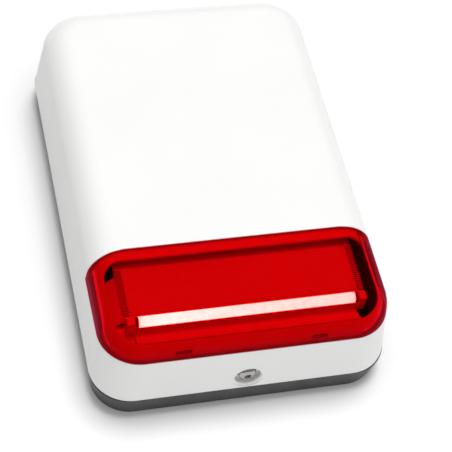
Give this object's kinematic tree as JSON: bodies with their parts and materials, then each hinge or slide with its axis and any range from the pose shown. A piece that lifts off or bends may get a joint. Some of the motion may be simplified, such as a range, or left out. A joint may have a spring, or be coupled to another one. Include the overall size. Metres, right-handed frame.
{
  "type": "alarm siren",
  "caption": "Outdoor alarm siren: white hinged cover with a flush red warning lens over a charcoal base, lit tube, horn sounder, board, battery and tamper switch.",
  "frame": {"origin": "centre of the flat wall face, on the plane of the back of the base", "axes": "+Z out of the front of the siren, +Y towards the end that is on top when it hangs on a wall, +X to the right seen from the front"},
  "size_m": [0.2, 0.297, 0.08],
  "materials": {
    "white_shell": "fine satin gloss, outdoor polycarbonate",
    "charcoal_shell": "satin, lightly textured",
    "red_lens": "polished, transparent",
    "white_inner": "satin",
    "lamp_glass": "frosted, lit",
    "black_moulding": "moulded satin",
    "steel": "plated, bright",
    "zinc_sheet": "galvanised",
    "brass_tab": "bright",
    "circuit_green": "solder-mask gloss",
    "terminal_green": "satin",
    "black_rubber": "matt",
    "copper_coil": "enamelled winding",
    "can_blue": "sleeved can",
    "battery_case": "moulded matt",
    "red_wire": "satin insulation",
    "black_wire": "satin insulation",
    "grey_wire": "satin insulation"
  },
  "bodies": {
    "root": {"base": "charcoal_shell", "lock_bracket": "zinc_sheet", "lock_bracket_screw": "steel", "lamp_contact_block": "black_moulding", "lamp_contact_left": "brass_tab", "lamp_contact_right": "brass_tab", "horn": "black_moulding", "sounder_driver": "black_moulding", "horn_screw_low": "steel", "horn_screw_high": "steel", "main_board": "circuit_green", "board_screw_1": "steel", "board_screw_2": "steel", "board_screw_3": "steel", "board_screw_4": "steel", "input_terminals": "terminal_green", "battery_terminals": "terminal_green", "smoothing_capacitor_1": "can_blue", "smoothing_capacitor_2": "can_blue", "sounder_coil": "copper_coil", "controller_chip": "black_moulding", "sounder_plug": "white_inner", "lamp_plug": "white_inner", "tamper_plug": "white_inner", "battery": "battery_case", "battery_tab_red": "brass_tab", "battery_tab_black": "brass_tab", "battery_strap": "zinc_sheet", "strap_screw_left": "steel", "strap_screw_right": "steel", "tear_off_tab": "charcoal_shell", "tamper_switch": "black_moulding", "tamper_spring": "steel", "cable_grommet": "black_rubber", "battery_lead_red": "red_wire", "battery_lead_black": "black_wire", "sounder_lead": "grey_wire", "lamp_lead": "grey_wire", "tamper_lead": "grey_wire"},
    "cover": {"cover": "white_shell", "lens": "red_lens", "screw_seal": "black_rubber", "reflector": "white_inner", "reflector_screw_left": "steel", "reflector_screw_right": "steel", "light_tube": "lamp_glass", "tube_holder_left": "white_inner", "tube_holder_right": "white_inner", "lamp_board": "circuit_green", "lamp_inverter": "black_moulding"},
    "lock_screw": {"cover_screw": "steel", "lock_tongue": "zinc_sheet"},
    "plunger": {"tamper_plunger": "white_inner"}
  },
  "joints": [
    {"name": "cover_hinge", "type": "hinge", "parent": "root", "child": "cover", "pos_m": [0, 0.1485, 0.0195], "axis": [-1, 0, 0], "range_deg": [0, 70]},
    {"name": "lock_turn", "type": "hinge", "parent": "cover", "child": "lock_screw", "pos_m": [0, -0.1441, 0.0303], "axis": [0, 1, 0], "range_deg": [0, 90]},
    {"name": "tamper_press", "type": "slide", "parent": "root", "child": "plunger", "axis": [0, 0, 1], "range_m": [0, 0.002], "deforming": ["tamper_spring"]}
  ],
  "couplings": [
    {"joint": "tamper_press", "follows": "cover_hinge", "m_per_rad": 0.00163}
  ]
}
